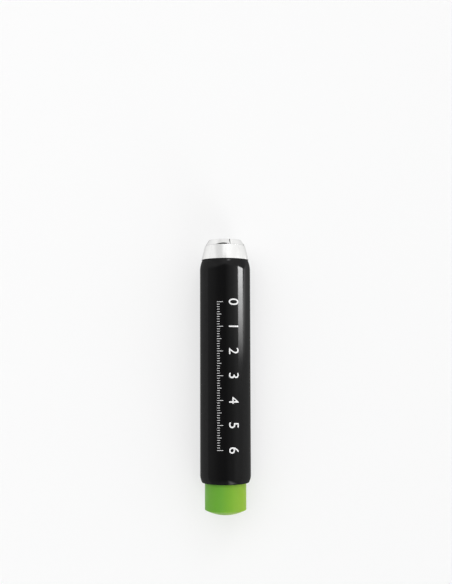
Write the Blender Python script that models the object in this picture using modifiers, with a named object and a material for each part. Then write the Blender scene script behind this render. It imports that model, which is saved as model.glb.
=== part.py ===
"""Crayon holder: a push-button clutch that grips a wax crayon in four jaws.

Every piece is turned or cut about one axis. Its heights are measured along that axis from the
barrel's rear end, towards the jaws. The empty "holder_axis" lays the axis along world +Y, with
the barrel lying on the ground plane and the holder's middle over the world origin.
"""

import math

import bmesh
import bpy
from mathutils import Matrix, Vector

MM = 0.001

# Crayon, across the flats of its hexagon
CRAYON_THINNEST = 11.0 * MM
CRAYON_THICKEST = 12.0 * MM

# Clearances
SEAT_GAP = 0.1 * MM
PRESS_GAP = 0.05 * MM
SLIDE_PLAY = 0.2 * MM
JAW_PLAY = 0.12 * MM
CORNER_PLAY = 0.27 * MM
HINGE_GAP = 0.3 * MM
HEAD_GAP = 0.1 * MM

# Collet tube and its jaws
TUBE_WALL = 0.7 * MM
JAW_COUNT = 4
JAW_LENGTH = 16.0 * MM
JAW_REACH = 2.45 * MM
JAW_WALL = 1.0 * MM
JAW_OPENING = math.radians(4.0)
JAW_HEAD = 1.65 * MM
JAW_HEAD_INSET = 0.07 * MM
JAW_TIP_WALL = 1.45 * MM
JAW_TIP_EDGE = 0.25 * MM
LIP_BITE = 0.2 * MM
LIP_WALL = 1.75 * MM
LIP_HEIGHT = 3.2 * MM
LIP_RIDGES = 3
LIP_RIDGE_DEPTH = 0.2 * MM
SLIT_WIDTH = 0.35 * MM
SLIT_BEARING = math.radians(15.5)
WINDOW_ANGLE = math.radians(44.0)

# Return spring and the collar behind it
WIRE = 0.9 * MM
SPRING_LENGTH = 36.0 * MM
SPRING_TURNS = 10
SPRING_END_GAP = 0.5 * MM
COLLAR_WIDTH = 3.0 * MM
COLLAR_EDGE = 0.2 * MM

# Barrel
BARREL_LENGTH = 91.9 * MM
BARREL_WALL = 1.3 * MM
REAR_WALL = 2.0 * MM
FRONT_CURVE = 4.5 * MM
REAR_CURVE = 3.0 * MM
FRONT_INSET = 0.85 * MM
REAR_INSET = 0.63 * MM
END_EDGE = 0.35 * MM

# Nose cone
NOSE_LENGTH = 5.85 * MM
NOSE_RIM_WIDTH = 1.1 * MM
NOSE_EDGE = 0.25 * MM
NOSE_BULGE = 0.05 * MM
NOSE_LIP = 0.2 * MM
MOUTH_LAND = 0.5 * MM
SPIGOT_LENGTH = 10.0 * MM
SPIGOT_CHAMFER = 0.3 * MM

# Push button
BUTTON_TRAVEL = 8.0 * MM
BUTTON_LENGTH = 13.2 * MM
BUTTON_DOME = 2.05 * MM
BUTTON_EDGE = 0.25 * MM
BUTTON_END_WALL = 2.8 * MM
BUTTON_SEAT_STEP = 2.5 * MM
FLANGE_STEP = 0.55 * MM
FLANGE_WIDTH = 1.5 * MM

# Facets. A count of 4 n + 2 puts a flat side, not a corner, under the barrel.
SEGMENTS = 50
ARC_STEPS = 5
FILLET_STEPS = 3
CAM_STEPS = 5
SPRING_POINTS = 18
SMOOTH_ANGLE = math.radians(35.0)
MERGE = 0.001 * MM

# Radii, from the crayon outwards
TUBE_BORE_R = CRAYON_THICKEST / math.sqrt(3) + CORNER_PLAY
TUBE_R = TUBE_BORE_R + TUBE_WALL
COIL_R = TUBE_R + SLIDE_PLAY + WIRE / 2
BORE_R = COIL_R + WIRE / 2 + SLIDE_PLAY
BARREL_R = BORE_R + BARREL_WALL
FRONT_END_R = BARREL_R - FRONT_INSET
REAR_END_R = BARREL_R - REAR_INSET
NOSE_BASE_R = FRONT_END_R + NOSE_LIP
SPIGOT_R = BORE_R - PRESS_GAP
SPIGOT_BORE_R = TUBE_R + SLIDE_PLAY
FLANGE_R = BORE_R - JAW_PLAY
BUTTON_R = FLANGE_R - FLANGE_STEP
BUTTON_HOLE_R = BUTTON_R + JAW_PLAY
LIP_R = CRAYON_THINNEST / 2 - LIP_BITE / 2
LAND_R = LIP_R + LIP_WALL
MOUTH_R = LAND_R + JAW_PLAY
RIM_R = MOUTH_R + NOSE_RIM_WIDTH
HEAD_R = RIM_R - JAW_HEAD_INSET
HINGE_R = TUBE_BORE_R + TUBE_WALL / 2

# Heights along the axis, at rest
SPIGOT_Z = BARREL_LENGTH - SPIGOT_LENGTH
NOSE_Z = BARREL_LENGTH + SEAT_GAP
RIM_Z = BARREL_LENGTH + NOSE_LENGTH
HEAD_Z = RIM_Z + HEAD_GAP
TIP_Z = RIM_Z + JAW_REACH
ROOT_Z = TIP_Z - JAW_LENGTH
TUBE_FRONT_Z = ROOT_Z - HINGE_GAP
SPRING_FRONT_Z = SPIGOT_Z - SEAT_GAP
SPRING_REAR_Z = SPRING_FRONT_Z - SPRING_LENGTH
COLLAR_FRONT_Z = SPRING_REAR_Z - SEAT_GAP
FLANGE_REAR_Z = REAR_WALL + SEAT_GAP
FLANGE_FRONT_Z = FLANGE_REAR_Z + FLANGE_WIDTH
BUTTON_END_Z = -BUTTON_LENGTH
BUTTON_FLOOR_Z = BUTTON_END_Z + BUTTON_END_WALL
BUTTON_SEAT_Z = BUTTON_FLOOR_Z + BUTTON_SEAT_STEP
TUBE_REAR_Z = BUTTON_SEAT_Z + SEAT_GAP

# The round barrel stands on the middle of a flat facet.
AXIS_HEIGHT = BARREL_R * math.cos(math.pi / SEGMENTS)
AXIS_MIDDLE_Z = (TIP_Z + BUTTON_END_Z) / 2


def clear_scene():
    for obj in list(bpy.data.objects):
        bpy.data.objects.remove(obj, do_unlink=True)


def new_collection(name):
    collection = bpy.data.collections.new(name)
    bpy.context.scene.collection.children.link(collection)
    return collection


def new_material(name, colour, roughness, metallic=0.0):
    material = bpy.data.materials.new(name)
    material.use_nodes = True
    shader = material.node_tree.nodes["Principled BSDF"]
    shader.inputs["Base Color"].default_value = (*colour, 1.0)
    shader.inputs["Roughness"].default_value = roughness
    shader.inputs["Metallic"].default_value = metallic
    return material


def arc(centre, radius, start, end, steps):
    """Points on a circle in the (radius, height) plane, both ends included, angles in degrees."""
    angles = [math.radians(start + (end - start) * i / steps) for i in range(steps + 1)]
    return [(centre[0] + radius * math.cos(a), centre[1] + radius * math.sin(a)) for a in angles]


def drawn_in(radius, inset, length):
    """(distance from the straight side's end, radius) along the arc that draws a side in by inset."""
    bend = (inset**2 + length**2) / (2 * inset)
    sweep = math.asin(length / bend)
    turns = [sweep * i / ARC_STEPS for i in range(ARC_STEPS + 1)]
    return [(bend * math.sin(t), radius - bend * (1 - math.cos(t))) for t in turns]


def bowed(start, end, bulge):
    """(radius, height) points between start and end, bowed out from their chord by bulge."""
    across = end[0] - start[0]
    down = start[1] - end[1]
    chord = math.hypot(across, down)
    points = []
    for i in range(1, ARC_STEPS):
        share = i / ARC_STEPS
        out = 4 * bulge * share * (1 - share) / chord
        points.append((start[0] + across * share + down * out, start[1] - down * share + across * out))
    return points


def frozen(obj):
    """Replaces the object's mesh by the result of its modifiers, shaded smooth except at edges."""
    graph = bpy.context.evaluated_depsgraph_get()
    mesh = bpy.data.meshes.new_from_object(obj.evaluated_get(graph))
    obj.modifiers.clear()
    obj.data = mesh
    mesh.shade_smooth()
    mesh.set_sharp_from_angle(angle=SMOOTH_ANGLE)
    return obj


def finished(obj, name, material):
    obj.data.name = name
    obj.data.materials.clear()
    obj.data.materials.append(material)
    return obj


def turned(name, profile, collection, ring=True):
    """A profile of (radius, height) points turned about the axis. It runs down its outer side."""
    points = [(radius, 0.0, height) for radius, height in profile]
    edges = [(i, i + 1) for i in range(len(points) - 1)]
    if ring:
        edges.append((len(points) - 1, 0))
    mesh = bpy.data.meshes.new(name)
    mesh.from_pydata(points, edges, [])
    obj = bpy.data.objects.new(name, mesh)
    collection.objects.link(obj)
    screw = obj.modifiers.new("turn", "SCREW")
    screw.axis = "Z"
    screw.angle = 2 * math.pi
    screw.steps = SEGMENTS
    screw.render_steps = SEGMENTS
    screw.use_merge_vertices = True
    screw.merge_threshold = MERGE
    return frozen(obj)


def prism(name, outline, bottom, top, collection):
    """A flat outline extruded from bottom to top, as a closed mesh for cutting."""
    curve = bpy.data.curves.new(name, "CURVE")
    curve.dimensions = "2D"
    curve.fill_mode = "BOTH"
    curve.extrude = (top - bottom) / 2
    spline = curve.splines.new("POLY")
    spline.points.add(len(outline) - 1)
    for point, (x, y) in zip(spline.points, outline):
        point.co = (x, y, 0.0, 1.0)
    spline.use_cyclic_u = True
    guide = bpy.data.objects.new(name + "_outline", curve)
    collection.objects.link(guide)
    guide.location.z = (bottom + top) / 2
    bpy.context.view_layer.update()
    graph = bpy.context.evaluated_depsgraph_get()
    mesh = bpy.data.meshes.new_from_object(guide.evaluated_get(graph))
    welded = bmesh.new()
    welded.from_mesh(mesh)
    bmesh.ops.remove_doubles(welded, verts=welded.verts, dist=MERGE)
    bmesh.ops.recalc_face_normals(welded, faces=welded.faces)
    welded.to_mesh(mesh)
    welded.free()
    obj = bpy.data.objects.new(name, mesh)
    obj.matrix_world = guide.matrix_world
    bpy.data.objects.remove(guide)
    collection.objects.link(obj)
    obj.hide_render = True
    obj.display_type = "WIRE"
    return obj


def cut(obj, tool, operation):
    boolean = obj.modifiers.new(tool.name, "BOOLEAN")
    boolean.object = tool
    boolean.operation = operation


def direction(angle):
    return Vector((math.cos(angle), math.sin(angle)))


def barrel_profile():
    front = drawn_in(BARREL_R, FRONT_INSET, FRONT_CURVE - END_EDGE)
    rear = drawn_in(BARREL_R, REAR_INSET, REAR_CURVE - END_EDGE)
    profile = arc((FRONT_END_R - END_EDGE, BARREL_LENGTH - END_EDGE), END_EDGE, 90, 0, FILLET_STEPS)[:-1]
    profile += [(r, BARREL_LENGTH - FRONT_CURVE + d) for d, r in reversed(front)]
    profile += [(r, REAR_CURVE - d) for d, r in rear]
    profile += arc((REAR_END_R - END_EDGE, END_EDGE), END_EDGE, 0, -90, FILLET_STEPS)[1:]
    profile += [(BUTTON_HOLE_R, 0.0), (BUTTON_HOLE_R, REAR_WALL)]
    profile += [(BORE_R, REAR_WALL), (BORE_R, BARREL_LENGTH)]
    return profile


def nose_profile():
    profile = arc((RIM_R - NOSE_EDGE, RIM_Z - NOSE_EDGE), NOSE_EDGE, 90, 15, FILLET_STEPS)
    profile += bowed(profile[-1], (NOSE_BASE_R, NOSE_Z), NOSE_BULGE)
    profile += [(NOSE_BASE_R, NOSE_Z), (SPIGOT_R, NOSE_Z), (SPIGOT_R, SPIGOT_Z + SPIGOT_CHAMFER)]
    profile += [(SPIGOT_R - SPIGOT_CHAMFER, SPIGOT_Z), (SPIGOT_BORE_R, SPIGOT_Z)]
    profile += [(SPIGOT_BORE_R, TUBE_FRONT_Z + BUTTON_TRAVEL + SLIDE_PLAY)]
    profile += [(MOUTH_R, RIM_Z - MOUTH_LAND), (MOUTH_R, RIM_Z)]
    return profile


def cam_radius(height):
    """Outer radius that stays just inside the nose cone's mouth while the jaw slides and swings out."""
    slid = RIM_Z - height
    swing = JAW_OPENING * slid / BUTTON_TRAVEL
    return LAND_R - (height - ROOT_Z) * math.sin(swing)


def jaw_profile():
    waist_z = RIM_Z - BUTTON_TRAVEL
    cam = [waist_z + BUTTON_TRAVEL * i / CAM_STEPS for i in range(CAM_STEPS + 1)]
    lip_z = TIP_Z - LIP_HEIGHT
    ridge = LIP_HEIGHT / (2 * LIP_RIDGES)
    tip_r = LIP_R + JAW_TIP_WALL
    profile = [(tip_r - JAW_TIP_EDGE, TIP_Z), (tip_r, TIP_Z - JAW_TIP_EDGE)]
    profile += [(HEAD_R, HEAD_Z), (LAND_R, HEAD_Z)]
    profile += [(cam_radius(z), z) for z in reversed(cam)]
    profile += [(TUBE_R, ROOT_Z), (TUBE_BORE_R, ROOT_Z)]
    profile += [(cam_radius(z) - JAW_WALL, z) for z in cam if z < lip_z - LIP_WALL + JAW_WALL]
    for i in range(LIP_RIDGES):
        profile += [(LIP_R, lip_z + 2 * i * ridge), (LIP_R, lip_z + (2 * i + 1) * ridge)]
        if i < LIP_RIDGES - 1:
            profile.append((LIP_R + LIP_RIDGE_DEPTH, lip_z + (2 * i + 1.5) * ridge))
    profile.append((LIP_R, TIP_Z))
    return profile


def button_profile():
    """From the middle of the cup's floor up its inside, over its rim and down its outside."""
    end_r = BUTTON_R - BUTTON_EDGE
    edge_z = BUTTON_END_Z + BUTTON_DOME + BUTTON_EDGE
    bend = (end_r**2 + BUTTON_DOME**2) / (2 * BUTTON_DOME)
    sweep = math.degrees(math.asin(end_r / bend))
    socket_r = TUBE_R + PRESS_GAP
    profile = [(0.0, BUTTON_FLOOR_Z), (TUBE_BORE_R, BUTTON_FLOOR_Z), (TUBE_BORE_R, BUTTON_SEAT_Z)]
    profile += [(socket_r, BUTTON_SEAT_Z), (socket_r, FLANGE_FRONT_Z)]
    profile += [(FLANGE_R, FLANGE_FRONT_Z), (FLANGE_R, FLANGE_REAR_Z), (BUTTON_R, FLANGE_REAR_Z)]
    profile += arc((end_r, edge_z), BUTTON_EDGE, 0, sweep - 90, FILLET_STEPS)
    dome = arc((0.0, BUTTON_END_Z + bend), bend, sweep - 90, -90, ARC_STEPS)
    profile += dome[1:-1] + [(0.0, BUTTON_END_Z)]
    return profile


def ring_profile(inner, outer, bottom, top, edge):
    """A plain ring whose outer corners are chamfered."""
    return [
        (outer - edge, top),
        (outer, top - edge),
        (outer, bottom + edge),
        (outer - edge, bottom),
        (inner, bottom),
        (inner, top),
    ]


def tube_profile():
    return [
        (TUBE_R, TUBE_FRONT_Z),
        (TUBE_R, TUBE_REAR_Z),
        (TUBE_BORE_R, TUBE_REAR_Z),
        (TUBE_BORE_R, TUBE_FRONT_Z),
    ]


def collar_profile():
    inner = TUBE_R + PRESS_GAP
    return ring_profile(inner, FLANGE_R, COLLAR_FRONT_Z - COLLAR_WIDTH, COLLAR_FRONT_Z, COLLAR_EDGE)


def jaw_mesh(cutters):
    """One jaw, its middle on local +X and its origin on its hinge: a sector of the turned collet,
    full width at its head and narrower below, where a window stands beside the slit and notches
    the rear of the head."""
    half = math.pi / JAW_COUNT
    far = 3 * BARREL_R
    apex = direction(0.0) * (SLIT_WIDTH / 2) / math.sin(half)
    sector = [apex, apex + direction(-half) * far, direction(0.0) * 2 * far, apex + direction(half) * far]
    window = [direction(0.0) * 0, direction(half - WINDOW_ANGLE) * far, direction(half + WINDOW_ANGLE) * far]
    blank = turned("jaw_blank", jaw_profile(), cutters)
    blank.hide_render = True
    below, above = ROOT_Z - JAW_LENGTH, TIP_Z + JAW_LENGTH
    cut(blank, prism("jaw_sector", sector, below, above, cutters), "INTERSECT")
    cut(blank, prism("jaw_window", window, below, TIP_Z - JAW_HEAD, cutters), "DIFFERENCE")
    frozen(blank)
    blank.data.transform(Matrix.Translation((-HINGE_R, 0.0, -ROOT_Z)))
    return blank.data


def jaw_bearing(index):
    """Angle about the axis of a jaw's middle. The side seen from above is at -90 degrees."""
    pitch = 2 * math.pi / JAW_COUNT
    return SLIT_BEARING - math.pi / 2 - pitch / 2 + index * pitch


def spring_points():
    """Centreline of the coil: a close turn at each end, even turns between."""
    close = WIRE + SPRING_END_GAP
    even = (SPRING_LENGTH - WIRE - 2 * close) / (SPRING_TURNS - 2)
    points = []
    for i in range(SPRING_TURNS * SPRING_POINTS + 1):
        turn = i / SPRING_POINTS
        middle = min(max(turn - 1, 0), SPRING_TURNS - 2)
        ends = min(turn, 1) + max(turn - SPRING_TURNS + 1, 0)
        height = SPRING_REAR_Z + WIRE / 2 + ends * close + middle * even
        points.append(Vector((*(direction(2 * math.pi * turn) * COIL_R), height)))
    return points


def make_spring(collection):
    points = spring_points()
    apart = SPRING_POINTS * 3 // 4
    near = min((p - q).length for i, p in enumerate(points) for q in points[i + apart :])
    print(f"return_spring clears itself by {(near - WIRE) / MM:.2f} mm")
    curve = bpy.data.curves.new("return_spring", "CURVE")
    curve.dimensions = "3D"
    curve.bevel_depth = WIRE / 2
    curve.bevel_resolution = 1
    curve.use_fill_caps = True
    spline = curve.splines.new("POLY")
    spline.points.add(len(points) - 1)
    for point, place in zip(spline.points, points):
        point.co = (*place, 1.0)
    obj = bpy.data.objects.new("return_spring", curve)
    collection.objects.link(obj)
    return obj


def new_empty(name, collection, parent=None):
    empty = bpy.data.objects.new(name, None)
    empty.empty_display_size = BARREL_R
    empty.parent = parent
    collection.objects.link(empty)
    return empty


def main():
    clear_scene()
    parts = new_collection("crayon_holder")
    cutters = new_collection("cutters")
    black = new_material("black_plastic", (0.012, 0.012, 0.013), 0.15)
    green = new_material("green_plastic", (0.19, 0.44, 0.05), 0.35)
    metal = new_material("bright_metal", (0.86, 0.86, 0.85), 0.15, 1.0)
    steel = new_material("spring_steel", (0.45, 0.45, 0.46), 0.3, 1.0)

    axis = new_empty("holder_axis", parts)
    axis.location = (0.0, -AXIS_MIDDLE_Z, AXIS_HEIGHT)
    axis.rotation_euler = (-math.pi / 2, 0.0, 0.0)
    plunger = new_empty("plunger", parts, axis)

    barrel = turned("barrel", barrel_profile(), parts)
    nose = turned("nose_cone", nose_profile(), parts)
    spring = make_spring(parts)
    for obj, material in ((barrel, black), (nose, metal), (spring, steel)):
        finished(obj, obj.name, material).parent = axis

    tube = turned("collet_tube", tube_profile(), parts)
    collar = turned("spring_collar", collar_profile(), parts)
    button = turned("push_button", button_profile(), parts, ring=False)
    for obj, material in ((tube, metal), (collar, steel), (button, green)):
        finished(obj, obj.name, material).parent = plunger

    jaw = jaw_mesh(cutters)
    for index in range(JAW_COUNT):
        obj = bpy.data.objects.new(f"jaw_{index + 1}", jaw)
        parts.objects.link(obj)
        finished(obj, "jaw", metal).parent = plunger
        bearing = jaw_bearing(index)
        obj.location = (*(direction(bearing) * HINGE_R), ROOT_Z)
        obj.rotation_euler = (0.0, 0.0, bearing)


main()
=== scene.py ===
"""Crayon holder: the finished look of the part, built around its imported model.

The holder lies along Y with its jaws towards +Y. A place on it is given by a radius from its
axis, a bearing about the axis (0 on top, positive towards +X) and a station along the axis,
measured from the barrel's rear end.
"""

import math

import bmesh
import bpy
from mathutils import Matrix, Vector


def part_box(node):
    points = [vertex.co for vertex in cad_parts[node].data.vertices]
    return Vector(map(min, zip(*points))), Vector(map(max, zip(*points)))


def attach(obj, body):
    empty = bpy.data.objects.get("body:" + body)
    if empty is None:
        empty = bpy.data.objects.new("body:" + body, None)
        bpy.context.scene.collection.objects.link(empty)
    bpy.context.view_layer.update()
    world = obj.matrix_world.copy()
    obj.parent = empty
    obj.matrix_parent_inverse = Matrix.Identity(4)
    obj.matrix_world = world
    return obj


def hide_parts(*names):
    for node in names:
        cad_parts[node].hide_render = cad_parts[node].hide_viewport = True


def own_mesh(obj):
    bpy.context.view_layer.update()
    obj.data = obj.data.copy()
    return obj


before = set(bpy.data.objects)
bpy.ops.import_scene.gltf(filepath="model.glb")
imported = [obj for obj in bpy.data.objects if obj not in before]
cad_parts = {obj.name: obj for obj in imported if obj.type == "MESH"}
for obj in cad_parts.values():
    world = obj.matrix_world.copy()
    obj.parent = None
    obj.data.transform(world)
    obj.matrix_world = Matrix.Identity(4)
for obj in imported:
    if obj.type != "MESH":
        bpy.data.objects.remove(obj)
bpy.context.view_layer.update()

MM = 0.001
CM = 10 * MM
MICRON = 0.001 * MM
INK = 0.02 * MM

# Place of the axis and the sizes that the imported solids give
BARREL_LOW, BARREL_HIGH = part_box("barrel")
TUBE_LOW, TUBE_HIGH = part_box("collet_tube")
NOSE_LOW, NOSE_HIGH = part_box("nose_cone")
REAR_Y = BARREL_LOW.y
AXIS_Z = (BARREL_LOW.z + BARREL_HIGH.z) / 2
BARREL_LENGTH = BARREL_HIGH.y - BARREL_LOW.y
BARREL_R = (BARREL_HIGH.z - BARREL_LOW.z) / 2 - INK
TUBE_R = (TUBE_HIGH.x - TUBE_LOW.x) / 2
RIM_S = NOSE_HIGH.y - REAR_Y
SPIGOT_S = NOSE_LOW.y - REAR_Y
TIP_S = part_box("jaw_1")[1].y - REAR_Y
ROOT_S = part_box("jaw_1")[0].y - REAR_Y
BUTTON_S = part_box("push_button")[0].y - REAR_Y
SPRING_REAR_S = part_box("return_spring")[0].y - REAR_Y
SPRING_FRONT_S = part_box("return_spring")[1].y - REAR_Y

# Barrel
BORE_R = 9.2 * MM
HOLE_R = 8.65 * MM
REAR_WALL = 2.0 * MM
FRONT_INSET = 0.85 * MM
REAR_INSET = 0.63 * MM
END_EDGE = 0.35 * MM
END_EDGE_TURN = 15
FRONT_CURVE = 4.5 * MM
REAR_CURVE = 3.0 * MM
HOLE_CHAMFER = 0.2 * MM

# Nose cone
MOUTH_R = 7.27 * MM
RIM_R = 8.37 * MM
NOSE_EDGE = 0.12 * MM
NOSE_BULGE = 0.05 * MM
NOSE_LIP = 0.2 * MM
NOSE_DROP = 0.05 * MM
RIM_RISE = 0.08 * MM
SPIGOT_R = 9.15 * MM
SPIGOT_BORE_R = 8.1 * MM
MOUTH_LAND = 0.5 * MM
MOUTH_CHAMFER = 0.1 * MM
SLIDE_PLAY = 0.2 * MM
SEAT_GAP = 0.04 * MM

# Jaws, with a notch in the rear of each head beside its slit
JAW_COUNT = 4
SLIT_BEARING = math.radians(15.5)
SLIT_TIP_WIDTH = 0.58 * MM
SLIT_REAR_WIDTH = 0.05 * MM
WINDOW_ANGLE = math.radians(44.0)
HEAD_R = 8.33 * MM
HEAD_GAP = 0.1 * MM
NOTCH_DEPTH = 0.58 * MM
NOTCH_SHARE = 0.98
NOTCH_LEAN = 1.2
JAW_WALL = 1.0 * MM
JAW_OPENING = math.radians(4.0)
LAND_R = 7.15 * MM
TUBE_BORE_R = 7.2 * MM
LIP_R = 5.4 * MM
LIP_HEIGHT = 3.2 * MM
LIP_RIDGES = 3
LIP_RIDGE_DEPTH = 0.2 * MM
LIP_EDGE = 0.15 * MM
TIP_WALL = 1.45 * MM
TIP_EDGE = 0.25 * MM
TIP_EDGE_TURN = 35
JAW_BEVEL = 0.06 * MM

# Push button
BUTTON_TRAVEL = 8.0 * MM
BUTTON_R = 8.53 * MM
BUTTON_DOME = 2.05 * MM
BUTTON_EDGE = 0.25 * MM
BUTTON_RINGS_S = (-2.0 * MM, -6.0 * MM)
FLANGE_R = 9.08 * MM
FLANGE_REAR_S = 2.1 * MM
FLANGE_FRONT_S = 3.6 * MM
BUTTON_END_WALL = 2.8 * MM
BUTTON_SEAT_STEP = 2.5 * MM
PRESS_GAP = 0.05 * MM

# Return spring
WIRE_R = 0.45 * MM
COIL_R = 8.55 * MM
SPRING_TURNS = 10
SPRING_END_GAP = 0.5 * MM

# Printed scale, from its zero near the nose to its last centimetre near the button
SCALE_ZERO_S = 73.9 * MM
SCALE_LENGTH_CM = 6
TICK_WIDTH = 0.2 * MM
TICK_BEARING = math.radians(-18.5)
TICK_LENGTHS = {0: 2.5 * MM, 5: 1.8 * MM}
TICK_SHORT = 1.15 * MM
NUMERAL_BEARING = math.radians(20.0)
NUMERAL_HEIGHT = 4.2 * MM
NUMERAL_SHARE = 0.7
NUMERAL_MARGIN = 0.05

# Meshes: faces around a turned piece, and the angle above which an edge stays crisp
SEGMENTS = 160
SHARP_ANGLE = math.radians(40.0)

# Studio: levels where 1 is white, and the share of its own glow in what the floor shows
FLOOR_LEVEL = 0.98
FLOOR_GLOW = 0.6
HORIZON_LEVEL = 0.95
BRIGHTEST = 8.0

# Camera, above the axis and looking down, tilted a little towards the jaws
CAMERA_HEIGHT = 0.394
CAMERA_STATION = 50.6 * MM
CAMERA_X = 0.31 * MM
CAMERA_TILT = math.radians(4.06)
CAMERA_ROLL = math.radians(-0.16)
CAMERA_LENS = 58.25


def place(radius, bearing, station):
    """The point at a radius, bearing and station."""
    return Vector((radius * math.sin(bearing), REAR_Y + station, AXIS_Z + radius * math.cos(bearing)))


def arc(centre, radius, start, end, steps):
    """(radius, station) points on a circle, both ends included, angles in degrees."""
    angles = [math.radians(start + (end - start) * i / steps) for i in range(steps + 1)]
    return [(centre[0] + radius * math.cos(a), centre[1] + radius * math.sin(a)) for a in angles]


def drawn_in(radius, inset, length, steps=14):
    """(distance, radius) along the arc that draws a straight side in by inset over length."""
    bend = (inset**2 + length**2) / (2 * inset)
    sweep = math.asin(length / bend)
    turns = [sweep * i / steps for i in range(steps + 1)]
    return [(bend * math.sin(t), radius - bend * (1 - math.cos(t))) for t in turns]


def bowed(start, end, bulge, steps=14):
    """(radius, station) points between start and end, bowed out from their chord by bulge."""
    across = end[0] - start[0]
    down = start[1] - end[1]
    chord = math.hypot(across, down)
    points = []
    for i in range(1, steps):
        share = i / steps
        out = 4 * bulge * share * (1 - share) / chord
        radius = start[0] + across * share + down * out
        station = start[1] - down * share + across * out
        points.append((radius, station))
    return points


def flat_object(name, bm):
    """A new object from a bmesh, as it is."""
    mesh = bpy.data.meshes.new(name)
    bm.to_mesh(mesh)
    bm.free()
    obj = bpy.data.objects.new(name, mesh)
    bpy.context.scene.collection.objects.link(obj)
    return obj


def mesh_object(name, bm):
    """A new object from a bmesh: normals outward, smooth except at edges."""
    bmesh.ops.recalc_face_normals(bm, faces=bm.faces)
    obj = flat_object(name, bm)
    obj.data.shade_smooth()
    obj.data.set_sharp_from_angle(angle=SHARP_ANGLE)
    return obj


def even_shading(obj):
    """Keeps large faces looking flat or straight beside their small rounded edges."""
    shade = obj.modifiers.new("even_shading", "WEIGHTED_NORMAL")
    shade.keep_sharp = True
    return obj


def lathe(name, outline, closed=True):
    """Turns an outline of (radius, station) points. A radius of zero is a single point."""
    bm = bmesh.new()
    rings = []
    for radius, station in outline:
        if radius == 0:
            rings.append([bm.verts.new(place(0.0, 0.0, station))] * SEGMENTS)
        else:
            bearings = [2 * math.pi * i / SEGMENTS for i in range(SEGMENTS)]
            rings.append([bm.verts.new(place(radius, b, station)) for b in bearings])
    pairs = list(zip(rings, rings[1:]))
    if closed:
        pairs.append((rings[-1], rings[0]))
    for lower, upper in pairs:
        for i in range(SEGMENTS):
            k = (i + 1) % SEGMENTS
            corners = dict.fromkeys((lower[i], lower[k], upper[k], upper[i]))
            bm.faces.new(corners)
    return even_shading(mesh_object(name, bm))


def barrel_outline():
    """From the front edge along the outside to the rear, and back through the bore."""
    rings = 12
    front_r = BARREL_R - FRONT_INSET - END_EDGE
    rear_r = BARREL_R - REAR_INSET - END_EDGE
    front = drawn_in(BARREL_R, FRONT_INSET, FRONT_CURVE - END_EDGE)
    rear = drawn_in(BARREL_R, REAR_INSET, REAR_CURVE - END_EDGE)
    side = BARREL_LENGTH - FRONT_CURVE - REAR_CURVE
    straight = [REAR_CURVE + side * i / rings for i in range(1, rings)]
    outline = arc((front_r, BARREL_LENGTH - END_EDGE), END_EDGE, 90, END_EDGE_TURN, steps=6)
    outline += [(r, BARREL_LENGTH - FRONT_CURVE + d) for d, r in reversed(front)]
    outline += [(BARREL_R, s) for s in reversed(straight)]
    outline += [(r, REAR_CURVE - d) for d, r in rear]
    outline += arc((rear_r, END_EDGE), END_EDGE, -END_EDGE_TURN, -90, steps=6)
    outline += [(HOLE_R + HOLE_CHAMFER, 0.0), (HOLE_R, HOLE_CHAMFER), (HOLE_R, REAR_WALL)]
    outline += [(BORE_R, REAR_WALL), (BORE_R, BARREL_LENGTH)]
    return outline


def nose_outline():
    """From the rim along the cone to its base, around the spigot and out through the mouth."""
    base_s = BARREL_LENGTH + SEAT_GAP
    base_r = BARREL_R - FRONT_INSET + NOSE_LIP
    rim_s = RIM_S + RIM_RISE
    height = rim_s - base_s
    slope = math.degrees(math.atan((base_r - RIM_R + 4 * NOSE_BULGE) / height))
    outline = arc((RIM_R - NOSE_EDGE, rim_s - NOSE_EDGE), NOSE_EDGE, 90, slope, steps=6)
    edge = (base_r, base_s - NOSE_DROP)
    outline += bowed(outline[-1], edge, NOSE_BULGE)
    outline += [edge, (base_r - NOSE_LIP, base_s), (SPIGOT_R, base_s), (SPIGOT_R, SPIGOT_S)]
    taper_s = TUBE_HIGH.y - REAR_Y + BUTTON_TRAVEL + SLIDE_PLAY
    outline += [(SPIGOT_BORE_R, SPIGOT_S), (SPIGOT_BORE_R, taper_s)]
    outline += [(MOUTH_R, rim_s - MOUTH_LAND), (MOUTH_R, rim_s - MOUTH_CHAMFER)]
    outline.append((MOUTH_R + MOUTH_CHAMFER, rim_s))
    return outline


def button_outline():
    """From the socket's middle around the flange and the side to the middle of the domed end."""
    end_r = BUTTON_R - BUTTON_EDGE
    edge_s = BUTTON_S + BUTTON_DOME + BUTTON_EDGE
    bend = (end_r**2 + BUTTON_DOME**2) / (2 * BUTTON_DOME)
    sweep = math.degrees(math.asin(end_r / bend))
    floor_s = BUTTON_S + BUTTON_END_WALL
    seat_s = floor_s + BUTTON_SEAT_STEP
    socket_r = TUBE_R + PRESS_GAP
    outline = [(0.0, floor_s), (TUBE_BORE_R, floor_s), (TUBE_BORE_R, seat_s), (socket_r, seat_s)]
    outline += [(socket_r, FLANGE_FRONT_S), (FLANGE_R, FLANGE_FRONT_S), (FLANGE_R, FLANGE_REAR_S)]
    outline += [(BUTTON_R, s) for s in (FLANGE_REAR_S, *BUTTON_RINGS_S)]
    outline += arc((end_r, edge_s), BUTTON_EDGE, 0, sweep - 90, steps=8)
    outline += arc((0.0, BUTTON_S + bend), bend, sweep - 90, -90, steps=14)[1:-1]
    outline.append((0.0, BUTTON_S))
    return outline


def tube_outline():
    rear_s = TUBE_LOW.y - REAR_Y
    front_s = TUBE_HIGH.y - REAR_Y
    return [(TUBE_R, front_s), (TUBE_R, rear_s), (TUBE_BORE_R, rear_s), (TUBE_BORE_R, front_s)]


def cam_radius(station):
    """The jaw's outer radius, which follows the nose cone's mouth as the jaw slides and swings."""
    swing = JAW_OPENING * (RIM_S - station) / BUTTON_TRAVEL
    return LAND_R - (station - ROOT_S) * math.sin(swing)


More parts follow.
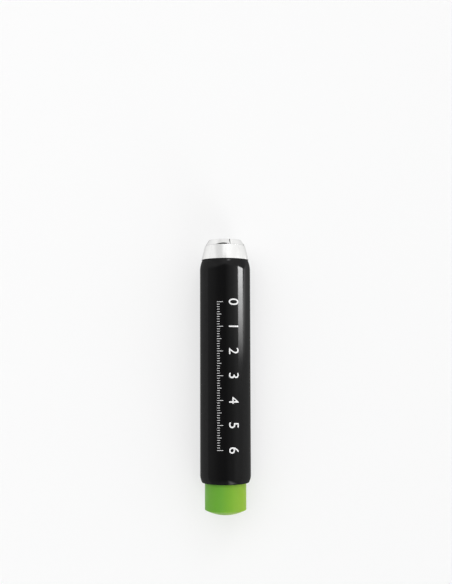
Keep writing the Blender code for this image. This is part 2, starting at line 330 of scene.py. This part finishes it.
def slit_width(station):
    """A slit is widest at the tip and narrows towards the rim of the nose cone."""
    share = min(max((station - RIM_S) / (TIP_S - RIM_S), 0.0), 1.0)
    return SLIT_REAR_WIDTH + (SLIT_TIP_WIDTH - SLIT_REAR_WIDTH) * share


def jaw_head(notch):
    """The head's section: a loop of (radius, station) from its inner rear corner round to the ledge
    outside the finger. The notch is how far its rear stands forward of the head's seat."""
    seat_s = RIM_S + HEAD_GAP
    ridge = LIP_HEIGHT / (2 * LIP_RIDGES)
    groove_s = TIP_S - 2.5 * ridge
    edge = (LIP_R + TIP_WALL - TIP_EDGE, TIP_S - TIP_EDGE)
    tip = arc(edge, TIP_EDGE, 90, TIP_EDGE_TURN, steps=4)
    flare = (HEAD_R - tip[-1][0]) / (tip[-1][1] - seat_s)
    rear_s = seat_s + notch
    loop = [(LIP_R, rear_s), (LIP_R, groove_s - ridge / 2), (LIP_R + LIP_RIDGE_DEPTH, groove_s)]
    loop += [(LIP_R, groove_s + ridge / 2), (LIP_R, TIP_S - LIP_EDGE), (LIP_R + LIP_EDGE, TIP_S)]
    return loop + tip + [(HEAD_R - flare * notch, rear_s), (LAND_R, rear_s)]


def jaw_finger():
    """The finger's section, from the head's ledge round to the head's inner rear corner."""
    steps = 10
    lip_s = TIP_S - LIP_HEIGHT
    ridge = LIP_HEIGHT / (2 * LIP_RIDGES)
    groove_s = lip_s + 1.5 * ridge
    cam = [RIM_S - BUTTON_TRAVEL * i / steps for i in range(steps + 1)]
    loop = [(cam_radius(s), s) for s in cam] + [(TUBE_R, ROOT_S), (TUBE_BORE_R, ROOT_S)]
    loop += [(cam_radius(s) - JAW_WALL, s) for s in reversed(cam) if s < lip_s - JAW_WALL]
    return loop + [(LIP_R, lip_s), (LIP_R, lip_s + ridge), (LIP_R + LIP_RIDGE_DEPTH, groove_s)]


def make_jaw(name, bearing):
    """One jaw of the collet: full width at its head, narrower below, with flat slit walls."""
    head = jaw_head(0.0)
    loop = head + jaw_finger()
    half = math.pi / JAW_COUNT
    edge = bearing + half - WINDOW_ANGLE
    steps = 24

    def side(radius, station, sign):
        """The bearing of the slit's wall on one side of the jaw."""
        return bearing + sign * (half - math.asin(slit_width(station) / 2 / radius))

    def ring(points, sign, share):
        """The points turned to a share of the way from the window's edge to a slit."""
        spots = [(r, edge + (side(r, s, sign) - edge) * share, s) for r, s in points]
        return [bm.verts.new(place(*spot)) for spot in spots]

    def skin(rings):
        """Faces between each ring and the next."""
        for a, b in zip(rings, rings[1:]):
            for i in range(len(a)):
                k = (i + 1) % len(a)
                bm.faces.new((a[i], a[k], b[k], b[i]))

    bm = bmesh.new()
    body = [ring(loop, -1, i / steps) for i in range(steps + 1)]
    overhang = [body[0][: len(head)]]
    for i in range(1, steps + 1):
        along = min(i / steps / NOTCH_SHARE, 1.0)
        notch = NOTCH_DEPTH * math.sin(math.pi * along**NOTCH_LEAN)
        overhang.append(ring(jaw_head(notch), 1, i / steps))
    skin(body)
    skin(overhang)
    bm.faces.new(body[-1])
    bm.faces.new(body[0][len(head) - 1 :] + body[0][:1])
    bm.faces.new(overhang[-1])
    obj = mesh_object(name, bm)
    bevel = obj.modifiers.new("edges", "BEVEL")
    bevel.width = JAW_BEVEL
    bevel.segments = 2
    bevel.limit_method = "ANGLE"
    bevel.angle_limit = SHARP_ANGLE
    return even_shading(obj)


def make_spring():
    """The coil as a round wire, with a close turn at each end."""
    wire_sides, turn_steps = 10, 40
    close = 2 * WIRE_R + SPRING_END_GAP
    even = (SPRING_FRONT_S - SPRING_REAR_S - 2 * WIRE_R - 2 * close) / (SPRING_TURNS - 2)
    bm = bmesh.new()
    rings = []
    for i in range(SPRING_TURNS * turn_steps + 1):
        turn = i / turn_steps
        middle = min(max(turn - 1, 0), SPRING_TURNS - 2)
        ends = min(turn, 1) + max(turn - SPRING_TURNS + 1, 0)
        station = SPRING_REAR_S + WIRE_R + ends * close + middle * even
        ring = []
        for k in range(wire_sides):
            a = 2 * math.pi * k / wire_sides
            radius = COIL_R + WIRE_R * math.cos(a)
            spot = place(radius, 2 * math.pi * turn, station + WIRE_R * math.sin(a))
            ring.append(bm.verts.new(spot))
        rings.append(ring)
    for a, b in zip(rings, rings[1:]):
        for k in range(wire_sides):
            n = (k + 1) % wire_sides
            bm.faces.new((a[k], a[n], b[n], b[k]))
    bm.faces.new(rings[0])
    bm.faces.new(rings[-1])
    return mesh_object("spring_coil", bm)


def ink_strip(bm, bearing, across, station, along):
    """A patch of ink on the barrel. Across is its size around the barrel, along its size along it."""
    steps = 6
    rows = []
    for i in range(steps + 1):
        b = bearing + across / BARREL_R * i / steps
        rows.append([bm.verts.new(place(BARREL_R, b, station + along * k)) for k in (-0.5, 0.5)])
    for a, b in zip(rows, rows[1:]):
        bm.faces.new((a[0], a[1], b[1], b[0]))


def ink_numeral(bm, text, station):
    """A numeral wrapped on the barrel, upright when the holder lies with its jaws to the left."""
    curve = bpy.data.curves.new("numeral", "FONT")
    curve.body = text
    curve.size = NUMERAL_HEIGHT / NUMERAL_SHARE
    curve.align_x = "CENTER"
    curve.resolution_u = 6
    guide = bpy.data.objects.new("numeral", curve)
    bpy.context.scene.collection.objects.link(guide)
    graph = bpy.context.evaluated_depsgraph_get()
    flat = bpy.data.meshes.new_from_object(guide.evaluated_get(graph))
    bpy.data.objects.remove(guide)
    glyph = bmesh.new()
    glyph.from_mesh(flat)
    bpy.data.meshes.remove(flat)
    rows = 14
    for i in range(1, rows):
        parts = glyph.verts[:] + glyph.edges[:] + glyph.faces[:]
        share = i / rows * (1 + 2 * NUMERAL_MARGIN) - NUMERAL_MARGIN
        level = Vector((0.0, NUMERAL_HEIGHT * share, 0.0))
        bmesh.ops.bisect_plane(glyph, geom=parts, plane_co=level, plane_no=(0.0, 1.0, 0.0))
    middle = NUMERAL_HEIGHT / 2
    wrapped = {}
    for v in glyph.verts:
        b = NUMERAL_BEARING + (v.co.y - middle) / BARREL_R
        wrapped[v] = bm.verts.new(place(BARREL_R, b, station - v.co.x))
    for f in glyph.faces:
        bm.faces.new([wrapped[v] for v in f.verts])
    glyph.free()


def make_scale():
    """A plain centimetre scale, printed on the barrel in white ink."""
    bm = bmesh.new()
    for i in range(SCALE_LENGTH_CM * 10 + 1):
        station = SCALE_ZERO_S - i * MM
        length = TICK_LENGTHS.get(i % 10, TICK_SHORT)
        ink_strip(bm, TICK_BEARING, length, station, TICK_WIDTH)
    for i in range(SCALE_LENGTH_CM + 1):
        ink_numeral(bm, str(i), SCALE_ZERO_S - i * CM)
    bmesh.ops.recalc_face_normals(bm, faces=bm.faces)
    for f in bm.faces:
        centre = f.calc_center_median()
        spoke = centre - Vector((0.0, centre.y, AXIS_Z))
        if f.normal.dot(spoke) < 0:
            f.normal_flip()
    obj = flat_object("printed_scale", bm)
    layer = obj.modifiers.new("ink", "SOLIDIFY")
    layer.thickness = INK
    layer.offset = 1.0
    return obj


class Nodes:
    """Builds one node tree."""

    def __init__(self, tree):
        self.tree = tree

    def add(self, kind, inputs=None, **settings):
        """A new node, with values or links for its inputs and its own settings."""
        node = self.tree.nodes.new(kind)
        for key, value in settings.items():
            setattr(node, key, value)
        for key, value in (inputs or {}).items():
            self.put(node.inputs[key], value)
        return node

    def put(self, socket, value):
        """Links a socket to another one, or sets its value."""
        if isinstance(value, bpy.types.NodeSocket):
            self.tree.links.new(value, socket)
        else:
            socket.default_value = value

    def math(self, operation, first, second=0.0):
        return self.add("ShaderNodeMath", {0: first, 1: second}, operation=operation).outputs[0]

    def span(self, value, low, high, from_low=0.3, from_high=0.7, kind="LINEAR"):
        """Maps a value to the range low to high. If not told otherwise, it is noise, whose values
        lie mostly between 0.3 and 0.7."""
        inputs = {"Value": value, "From Min": from_low, "From Max": from_high}
        inputs.update({"To Min": low, "To Max": high})
        return self.add("ShaderNodeMapRange", inputs, interpolation_type=kind).outputs["Result"]

    def heading(self, side, onward):
        """The angle of a direction, as a share of the range from -90 to 90 degrees."""
        half = math.pi / 2
        return self.span(self.math("ARCTAN2", side, onward), 0.0, 1.0, -half, half)

    def ramp(self, share, *stops):
        """Levels between stops of (degrees, level), for a heading."""
        node = self.add("ShaderNodeValToRGB", {"Fac": share})
        elements = node.color_ramp.elements
        while len(elements) < len(stops):
            elements.new(1.0)
        for element, (angle, level) in zip(elements, stops):
            element.position = (angle + 90) / 180
            element.color = grey(level / BRIGHTEST)
        return self.math("MULTIPLY", node.outputs["Color"], BRIGHTEST)

    def blend(self, factor, first, second):
        """A blend of two numbers."""
        inputs = {"Factor": factor, "A": first, "B": second}
        return self.add("ShaderNodeMix", inputs).outputs["Result"]

    def split(self, vector):
        parts = self.add("ShaderNodeSeparateXYZ", {"Vector": vector}).outputs
        return parts["X"], parts["Y"], parts["Z"]


class Shader(Nodes):
    """The node tree of one material, around its Principled shader."""

    def __init__(self, name):
        self.material = bpy.data.materials.new(name)
        self.material.use_nodes = True
        super().__init__(self.material.node_tree)
        self.surface = self.tree.nodes["Principled BSDF"]
        where = self.add("ShaderNodeTexCoord")
        self.place = where.outputs["Object"]
        self.facing = where.outputs["Normal"]

    def set(self, **inputs):
        """Sets or links inputs of the Principled shader, with _ for a space in their names."""
        for key, value in inputs.items():
            self.put(self.surface.inputs[key.replace("_", " ")], value)

    def noise(self, scale, stretch=(1.0, 1.0, 1.0), detail=3.0):
        """Noise between 0 and 1. The scale is in features per metre, multiplied by stretch."""
        mapping = self.add("ShaderNodeMapping", {"Vector": self.place, "Scale": stretch})
        inputs = {"Vector": mapping.outputs["Vector"], "Scale": scale, "Detail": detail}
        return self.add("ShaderNodeTexNoise", inputs).outputs["Fac"]

    def mix(self, factor, first, second):
        """A blend of two colours."""
        node = self.add("ShaderNodeMix", data_type="RGBA")
        self.put(node.inputs["Factor"], factor)
        self.put(next(s for s in node.inputs if s.name == "A" and s.type == "RGBA"), first)
        self.put(next(s for s in node.inputs if s.name == "B" and s.type == "RGBA"), second)
        return next(s for s in node.outputs if s.type == "RGBA")

    def bump(self, height, distance, normal=None):
        """A normal bent by a height between 0 and 1, which stands for up to the distance."""
        inputs = {"Height": height, "Distance": distance, "Strength": 1.0}
        if normal:
            inputs["Normal"] = normal
        return self.add("ShaderNodeBump", inputs).outputs["Normal"]


def grey(value):
    """A grey colour."""
    return (value, value, value, 1.0)


def black_plastic():
    """Polished black moulding under a thin clear gloss: faint waves, handling haze and hairline
    scratches along it."""
    s = Shader("black_gloss_plastic")
    cloud = s.noise(70.0)
    haze = s.noise(420.0, detail=5.0)
    hairs = s.noise(900.0, (1.0, 0.03, 1.0), 2.0)
    s.set(Base_Color=s.mix(cloud, (0.0032, 0.0032, 0.0034, 1.0), (0.0046, 0.0046, 0.0048, 1.0)))
    s.set(Roughness=s.span(haze, 0.3, 0.4), Specular_IOR_Level=0.0)
    scratch = s.span(hairs, 0.0, 0.02, 0.62, 0.72)
    s.set(Coat_Weight=s.math("SUBTRACT", s.span(haze, 0.135, 0.15), scratch))
    s.set(Coat_IOR=2.0, Coat_Roughness=0.09)
    waves = s.bump(s.noise(260.0, detail=1.0), 2.5 * MICRON)
    surface = s.bump(hairs, 0.8 * MICRON, waves)
    s.set(Normal=surface, Coat_Normal=surface)
    return s.material


def bright_metal(name, roughness):
    """Plated metal with fine turning lines around the axis, which draw its gloss out along it.
    Faces that look outward or ahead show the bright metal. Faces that look inward, and the walls of the
    slits, get a dark base colour, which is painted shade, and more roughness."""
    s = Shader(name)
    rings = s.noise(5200.0, (0.004, 1.0, 0.004), 2.0)
    cloud = s.noise(260.0, detail=4.0)
    around = s.add("ShaderNodeTangent", direction_type="RADIAL", axis="Y").outputs["Tangent"]
    s.set(Metallic=1.0, Anisotropic=0.4, Anisotropic_Rotation=0.25, Tangent=around)
    s.set(Specular_Tint=grey(0.75))
    x, _, z = s.split(s.place)
    spoke = s.add("ShaderNodeCombineXYZ", {"X": x, "Z": s.math("SUBTRACT", z, AXIS_Z)})
    spoke = s.add("ShaderNodeVectorMath", {0: spoke.outputs["Vector"]}, operation="NORMALIZE")
    ends = {0: spoke.outputs["Vector"], 1: s.facing}
    outward = s.add("ShaderNodeVectorMath", ends, operation="DOT_PRODUCT").outputs["Value"]
    ahead = s.math("MULTIPLY", s.split(s.facing)[1], 0.6)
    # Painted shade: faces that look inward get a dark base colour in place of the bright metal
    unshaded_faces = s.span(s.math("ADD", outward, s.math("MAXIMUM", ahead, 0.0)), 0.0, 1.0, 0.2, 0.5)
    bright = s.mix(cloud, (0.88, 0.88, 0.87, 1.0), (0.93, 0.93, 0.92, 1.0))
    painted_recess_shade = s.mix(cloud, (0.13, 0.13, 0.13, 1.0), (0.22, 0.22, 0.22, 1.0))
    s.set(Base_Color=s.mix(unshaded_faces, painted_recess_shade, bright))
    patina = s.span(cloud, roughness - 0.03, roughness + 0.03)
    inward_roughness = s.span(unshaded_faces, 0.25, 0.0, 0.0, 1.0)
    lines = s.math("ADD", patina, s.span(rings, 0.0, 0.06))
    s.set(Roughness=s.math("ADD", lines, inward_roughness))
    s.set(Normal=s.bump(rings, 0.7 * MICRON))
    return s.material


def green_plastic():
    """Satin lime green moulding, slightly translucent, with a fine grain. Its base colour is painted
    yellower and lighter along its +X side and towards its domed end, as painted light from that side."""
    s = Shader("green_satin_plastic")
    cloud = s.noise(180.0, detail=4.0)
    grain = s.noise(2600.0, detail=3.0)
    x, y, _ = s.split(s.place)
    end_y = REAR_Y + BUTTON_S
    # Painted light: masks that blend the base colour towards a yellower, lighter green towards the domed
    # end and along the +X side
    end = s.span(y, 0.5, 0.0, end_y + 0.8 * MM, end_y + 2.8 * MM)
    side = s.math("ADD", s.span(x, 0.0, 1.0, -2.0 * MM, BUTTON_R), end)
    leaf = s.mix(cloud, (0.132, 0.365, 0.037, 1.0), (0.150, 0.388, 0.043, 1.0))
    # The yellower, lighter green of the painted light
    lime = s.mix(cloud, (0.245, 0.415, 0.026, 1.0), (0.265, 0.440, 0.032, 1.0))
    s.set(Base_Color=s.mix(side, leaf, lime))
    s.set(Roughness=s.span(grain, 0.34, 0.44), Specular_IOR_Level=0.0)
    s.set(Coat_Weight=s.span(cloud, 0.4, 0.5), Coat_IOR=1.42, Coat_Roughness=0.3)
    s.set(Subsurface_Weight=0.2, Subsurface_Scale=1.5 * MM, Subsurface_Radius=(0.8, 1.0, 0.25))
    surface = s.bump(grain, 4.0 * MICRON)
    s.set(Normal=surface, Coat_Normal=surface)
    return s.material


def white_ink():
    """Matt pad-printed ink of slightly uneven cover."""
    s = Shader("white_ink")
    speck = s.noise(3000.0, detail=2.0)
    s.set(Base_Color=s.mix(speck, grey(0.74), grey(0.82)))
    s.set(Roughness=s.span(speck, 0.4, 0.55))
    s.set(Normal=s.bump(speck, 3.0 * MICRON))
    return s.material


def spring_steel():
    """Drawn steel, streaked, with a light film of oil."""
    s = Shader("spring_steel_finish")
    streak = s.noise(1800.0, detail=4.0)
    s.set(Metallic=1.0)
    s.set(Base_Color=s.mix(streak, grey(0.38), grey(0.52)))
    s.set(Roughness=s.span(streak, 0.24, 0.38))
    s.set(Normal=s.bump(streak, 2.0 * MICRON))
    return s.material


def pale_paper():
    """The floor: plain, pale and dull. To the camera and in reflections it glows a little, as a
    light table does, which softens the holder's shadow."""
    s = Shader("pale_floor")
    speck = s.noise(900.0, detail=3.0)
    s.set(Base_Color=s.mix(speck, grey(0.86), grey(0.88)))
    s.set(Roughness=0.9, Specular_IOR_Level=0.0)
    rays = s.add("ShaderNodeLightPath").outputs
    seen = s.math("ADD", rays["Is Camera Ray"], rays["Is Glossy Ray"])
    seen = s.math("MINIMUM", s.math("ADD", seen, rays["Is Transmission Ray"]), 1.0)
    glow = s.add("ShaderNodeEmission", {"Strength": FLOOR_LEVEL}).outputs["Emission"]
    table = s.add("ShaderNodeMixShader", {0: s.math("MULTIPLY", seen, FLOOR_GLOW)})
    s.put(table.inputs[1], s.surface.outputs["BSDF"])
    s.put(table.inputs[2], glow)
    s.put(s.tree.nodes["Material Output"].inputs["Surface"], table.outputs["Shader"])
    return s.material


def dress(obj, material, body, *nodes):
    """Gives a piece its finish, lets it ride on a body and stand for CAD nodes."""
    obj.data.materials.clear()
    obj.data.materials.append(material)
    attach(obj, body)
    if nodes:
        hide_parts(*nodes)
    return obj


def make_pieces():
    """Every piece of the holder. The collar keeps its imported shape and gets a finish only."""
    black = black_plastic()
    chrome = bright_metal("bright_plating", 0.08)
    steel = spring_steel()
    barrel = dress(lathe("barrel_shell", barrel_outline()), black, "barrel", "barrel")
    nose = dress(lathe("nose_shell", nose_outline()), chrome, "barrel", "nose_cone")
    cap = lathe("button_cap", button_outline(), closed=False)
    button = dress(cap, green_plastic(), "plunger", "push_button")
    tube = dress(lathe("collet_sleeve", tube_outline()), chrome, "plunger", "collet_tube")
    ink = dress(make_scale(), white_ink(), "barrel")
    coil = dress(make_spring(), steel, "barrel", "return_spring")
    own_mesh(coil)
    pitch = 2 * math.pi / JAW_COUNT
    for i in range(JAW_COUNT):
        name = f"jaw_{i + 1}"
        jaw = make_jaw(f"collet_{name}", SLIT_BEARING + (i - 0.5) * pitch)
        dress(jaw, chrome, name, name)
    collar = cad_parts["spring_collar"]
    collar.data.materials.clear()
    collar.data.materials.append(steel)


def make_floor():
    """The plain floor that the holder lies on."""
    bm = bmesh.new()
    bmesh.ops.create_grid(bm, x_segments=8, y_segments=8, size=3.0)
    floor = mesh_object("floor", bm)
    floor.data.materials.append(pale_paper())


def make_panel(name, spot, aim, size, strength):
    """A softbox of a given radiance."""
    light = bpy.data.lights.new(name, "AREA")
    light.shape = "RECTANGLE"
    light.size, light.size_y = size
    light.energy = strength * math.pi * size[0] * size[1]
    obj = bpy.data.objects.new(name, light)
    obj.location = spot
    obj.rotation_euler = (Vector(aim) - Vector(spot)).to_track_quat("-Z", "Y").to_euler()
    obj.visible_camera = False
    bpy.context.scene.collection.objects.link(obj)
    return obj


def shade_panel(panel, level):
    """Lets a panel's light vary over its face and fall on glossy surfaces only, without echoes.
    The level is a function of a node builder and the place along each side, from 0 to 1."""
    panel.data.use_nodes = True
    nodes = Nodes(panel.data.node_tree)
    along, up, _ = nodes.split(nodes.add("ShaderNodeNewGeometry").outputs["Parametric"])
    nodes.put(nodes.tree.nodes["Emission"].inputs["Strength"], level(nodes, along, up))
    panel.visible_diffuse = False
    panel.data.cycles.max_bounces = 0


def strip_level(nodes, along, up):
    """Fades in along the panel, whose far end is cut off at a slant."""
    slant = nodes.math("SUBTRACT", along, nodes.math("MULTIPLY", up, 0.45))
    fade_in = nodes.span(along, 0.0, 1.0, 0.0, 0.45)
    return nodes.math("MULTIPLY", fade_in, nodes.span(slant, 1.0, 0.0, 0.48, 0.58))


def bounce_level(nodes, along, up):
    """Fades out along one side of the panel and in along the other."""
    fade_out = nodes.span(along, 1.0, 0.0, 0.0, 1.0)
    return nodes.math("MULTIPLY", fade_out, nodes.span(up, 0.0, 1.0, 0.0, 0.65))


def make_world():
    """A dim room with a plain pale horizon, with broad soft light and a small window ahead of the
    holder and another window behind it."""
    world = bpy.data.worlds.new("studio")
    bpy.context.scene.world = world
    world.use_nodes = True
    nodes = Nodes(world.node_tree)
    x, y, z = nodes.split(nodes.add("ShaderNodeTexCoord").outputs["Generated"])
    back = nodes.math("MULTIPLY", y, -1.0)
    across = nodes.heading(x, z)
    ahead = nodes.heading(x, y)
    behind = nodes.heading(x, back)
    left = nodes.ramp(across, (-90, 0.6), (-57, 0.42), (-30, 0.18), (0, 0.12))
    right = nodes.ramp(across, (0, 0.0), (20, 0.48), (37, 0.81), (52, 1.53))
    right = nodes.math("MULTIPLY", right, nodes.span(y, 0.45, 1.0, -0.03, 0.07, "SMOOTHSTEP"))
    room = nodes.math("ADD", left, right)
    left_front = ((-57, 0.97), (-51, 0.8), (-46, 0.775), (-28, 0.775), (-18, 0.93), (-8, 1.08))
    right_front = ((31, 1.1), (48, 1.04), (57, 0.98))
    front = nodes.ramp(ahead, *left_front, *right_front)
    front = nodes.math("MULTIPLY", front, nodes.span(y, 1.0, 0.83, 0.88, 0.97, "SMOOTHSTEP"))
    opens = nodes.span(y, 0.0, 1.0, 0.66, 0.71)
    closes = nodes.span(y, 1.0, 0.0, 0.8, 0.84)
    pane = nodes.math("MULTIPLY", opens, closes)
    glint = nodes.math("MULTIPLY", nodes.ramp(ahead, (9, 0.0), (19, 8.0), (31, 0.0)), pane)
    front = nodes.math("ADD", front, glint)
    rear = nodes.ramp(behind, (12, 0.5), (26, 5.6), (29, 5.6), (43, 0.5))
    wide = nodes.math("ADD", y, nodes.math("MULTIPLY", nodes.math("ABSOLUTE", x), 0.3))
    to_front = nodes.span(wide, 0.0, 1.0, 0.35, 0.6, "SMOOTHSTEP")
    to_rear = nodes.span(back, 0.0, 1.0, 0.4, 0.8, "SMOOTHSTEP")
    level = nodes.blend(to_rear, nodes.blend(to_front, room, front), rear)
    to_room = nodes.span(z, 0.0, 1.0, 0.06, 0.1, "SMOOTHSTEP")
    level = nodes.blend(to_room, HORIZON_LEVEL, level)
    background = world.node_tree.nodes["Background"]
    nodes.put(background.inputs["Strength"], level)
    nodes.put(background.inputs["Color"], grey(1.0))


def make_lights():
    """The room, a strip for the barrel's highlight, a low panel for its flank and a soft fill."""
    make_world()
    strip = make_panel(
        "right_strip", spot=(0.5, 0.107, 0.155), aim=(0.0, 0.107, 0.135), size=(0.20, 0.25), strength=38.0
    )
    shade_panel(strip, strip_level)
    bounce = make_panel(
        "low_bounce", spot=(0.22, 0.031, 0.002), aim=(0.22, 0.031, 1.0), size=(0.4, 0.052), strength=14.0
    )
    shade_panel(bounce, bounce_level)
    fill = make_panel(
        "overhead_fill", spot=(-0.35, 0.3, 1.1), aim=(0.0, 0.0, 0.0), size=(1.2, 1.2), strength=1.4
    )
    fill.visible_glossy = False


def make_camera():
    data = bpy.data.cameras.new("camera")
    data.lens = CAMERA_LENS
    data.sensor_width = 36.0
    data.clip_start = 0.01
    camera = bpy.data.objects.new("camera", data)
    camera.location = (CAMERA_X, REAR_Y + CAMERA_STATION, AXIS_Z + CAMERA_HEIGHT)
    camera.rotation_euler = (CAMERA_TILT, 0.0, CAMERA_ROLL)
    bpy.context.scene.collection.objects.link(camera)
    bpy.context.scene.camera = camera


make_pieces()
make_floor()
make_lights()
make_camera()
bpy.context.scene.view_settings.view_transform = "Standard"
